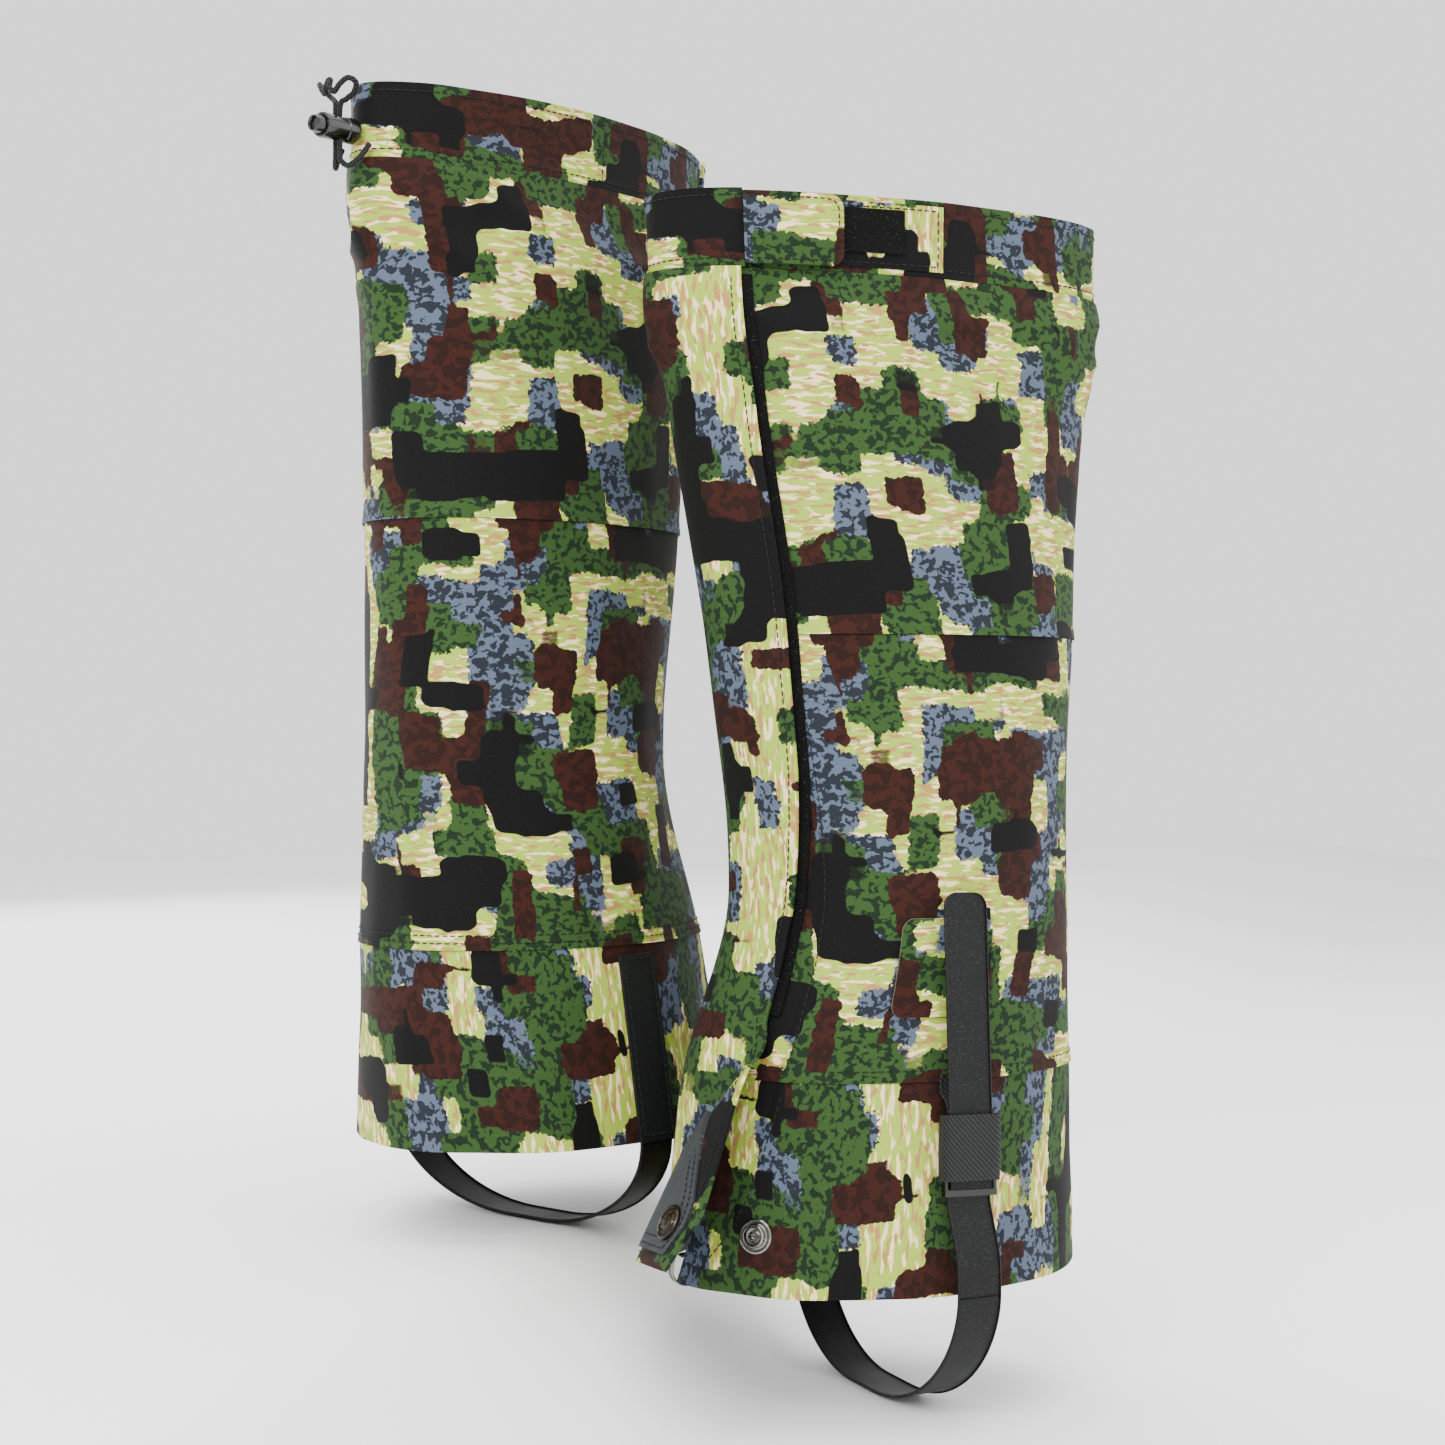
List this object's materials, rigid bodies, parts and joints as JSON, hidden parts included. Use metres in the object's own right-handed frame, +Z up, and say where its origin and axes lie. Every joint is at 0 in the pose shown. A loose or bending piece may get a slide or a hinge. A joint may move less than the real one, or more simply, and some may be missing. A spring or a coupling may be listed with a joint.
{
  "type": "gaiters",
  "caption": "Knee-high camouflage gaiters with hook-and-loop front flap, collar tab, drawcord with barrel lock, snap corner, lace hook and buckled strap under the boot.",
  "frame": {"origin": "on the floor between the two gaiters", "axes": "+Z up the leg; -X is the front of the left gaiter and -Y its outer side; the right gaiter is turned 154 degrees about Z and stands 50 mm higher"},
  "size_m": [0.3515, 0.2939, 0.555],
  "materials": {
    "camo_cloth": "waxed camouflage twill, matt",
    "camo_trim": "camouflage twill trim",
    "black_tape": "hook and loop tape",
    "coated_strap": "rubber-coated webbing, satin",
    "black_webbing": "woven webbing",
    "black_cord": "braided cord",
    "black_plastic": "glossy black",
    "grey_leather": "matt grey",
    "bright_metal": "polished nickel",
    "antique_metal": "dark antique finish"
  },
  "bodies": {
    "left_sleeve": {"left_collar_band": "camo_cloth", "left_upper_leg_panel": "camo_cloth", "left_lower_leg_panel": "camo_cloth", "left_foot_panel": "camo_cloth", "left_hook_tape": "black_tape", "left_snap_stud": "bright_metal", "left_collar_landing": "camo_trim", "left_collar_hook_patch": "black_tape", "left_buckle_anchor": "black_webbing", "left_buckle_frame": "black_plastic", "left_buckle_keeper": "black_webbing", "left_tail_patch": "camo_trim", "left_strap_riser": "coated_strap", "left_instep_strap": "coated_strap", "left_strap_anchor": "coated_strap", "left_drawcord": "black_cord"},
    "left_flap": {"left_front_flap": "camo_cloth", "left_flap_collar": "camo_cloth", "left_loop_tape": "black_tape", "left_lace_hook": "bright_metal"},
    "left_snap_corner": {"left_snap_flap": "camo_cloth", "left_snap_patch": "grey_leather", "left_snap_cap": "antique_metal", "left_snap_socket": "bright_metal"},
    "left_tab": {"left_collar_tab": "camo_cloth", "left_tab_loop_patch": "black_tape"},
    "left_tail": {"left_strap_tail": "coated_strap"},
    "left_cord_lock": {"left_cord_lock_barrel": "black_plastic"},
    "left_button": {"left_cord_lock_plunger": "black_plastic"},
    "right_sleeve": {"right_collar_band": "camo_cloth", "right_upper_leg_panel": "camo_cloth", "right_lower_leg_panel": "camo_cloth", "right_foot_panel": "camo_cloth", "right_hook_tape": "black_tape", "right_snap_stud": "bright_metal", "right_collar_landing": "camo_trim", "right_collar_hook_patch": "black_tape", "right_buckle_anchor": "black_webbing", "right_buckle_frame": "black_plastic", "right_buckle_keeper": "black_webbing", "right_tail_patch": "camo_trim", "right_strap_riser": "coated_strap", "right_instep_strap": "coated_strap", "right_strap_anchor": "coated_strap", "right_drawcord": "black_cord"},
    "right_flap": {"right_front_flap": "camo_cloth", "right_flap_collar": "camo_cloth", "right_loop_tape": "black_tape", "right_lace_hook": "bright_metal"},
    "right_snap_corner": {"right_snap_flap": "camo_cloth", "right_snap_patch": "grey_leather", "right_snap_cap": "antique_metal", "right_snap_socket": "bright_metal"},
    "right_tab": {"right_collar_tab": "camo_cloth", "right_tab_loop_patch": "black_tape"},
    "right_tail": {"right_strap_tail": "coated_strap"},
    "right_cord_lock": {"right_cord_lock_barrel": "black_plastic"},
    "right_button": {"right_cord_lock_plunger": "black_plastic"}
  },
  "joints": [
    {"name": "left_front_flap_hinge", "type": "hinge", "parent": "left_sleeve", "child": "left_flap", "pos_m": [-0.03106, -0.02501, 0.056], "axis": [0.012, 0.0284, -0.9995], "range_deg": [0, 65]},
    {"name": "left_snap_corner_fold", "type": "hinge", "parent": "left_flap", "child": "left_snap_corner", "pos_m": [-0.03166, -0.06396, 0.113], "axis": [-0.2326, 0.3948, -0.8888], "range_deg": [-38, 40]},
    {"name": "left_collar_tab_hinge", "type": "hinge", "parent": "left_flap", "child": "left_tab", "pos_m": [-0.01934, -0.08493, 0.505], "axis": [0, 0, -1], "range_deg": [0, 100]},
    {"name": "left_strap_pull", "type": "slide", "parent": "left_sleeve", "child": "left_tail", "axis": [0.0298, 0.1044, 0.9941], "range_m": [0, 0.025], "deforming": ["left_instep_strap"]},
    {"name": "left_cord_lock_slide", "type": "slide", "parent": "left_sleeve", "child": "left_cord_lock", "axis": [0, 0, 1], "range_m": [-0.006, 0]},
    {"name": "left_cord_lock_button", "type": "slide", "parent": "left_cord_lock", "child": "left_button", "axis": [-0.6204, -0.7843, 0], "range_m": [0, 0.0035], "stiffness_N_per_m": 250},
    {"name": "right_front_flap_hinge", "type": "hinge", "parent": "right_sleeve", "child": "right_flap", "pos_m": [0.03507, 0.06659, 0.106], "axis": [0.0017, -0.0308, -0.9995], "range_deg": [0, 90]},
    {"name": "right_snap_corner_fold", "type": "hinge", "parent": "right_flap", "child": "right_snap_corner", "pos_m": [0.01854, 0.10187, 0.163], "axis": [0.3822, -0.2529, -0.8888], "range_deg": [-38, 40]},
    {"name": "right_collar_tab_hinge", "type": "hinge", "parent": "right_flap", "child": "right_tab", "pos_m": [-0.00173, 0.11532, 0.555], "axis": [0, 0, -1], "range_deg": [0, 100]},
    {"name": "right_strap_pull", "type": "slide", "parent": "right_sleeve", "child": "right_tail", "axis": [0.019, -0.1069, 0.9941], "range_m": [0, 0.025], "deforming": ["right_instep_strap"]},
    {"name": "right_cord_lock_slide", "type": "slide", "parent": "right_sleeve", "child": "right_cord_lock", "axis": [0, 0, 1], "range_m": [-0.006, 0]},
    {"name": "right_cord_lock_button", "type": "slide", "parent": "right_cord_lock", "child": "right_button", "axis": [0.8988, 0.4384, 0], "range_m": [0, 0.0035], "stiffness_N_per_m": 250},
    {"name": "right_gaiter_apart", "type": "slide", "parent": "left_sleeve", "child": "right_sleeve", "axis": [-0.7243, 0.6895, 0], "range_m": [0, 0.15]}
  ]
}
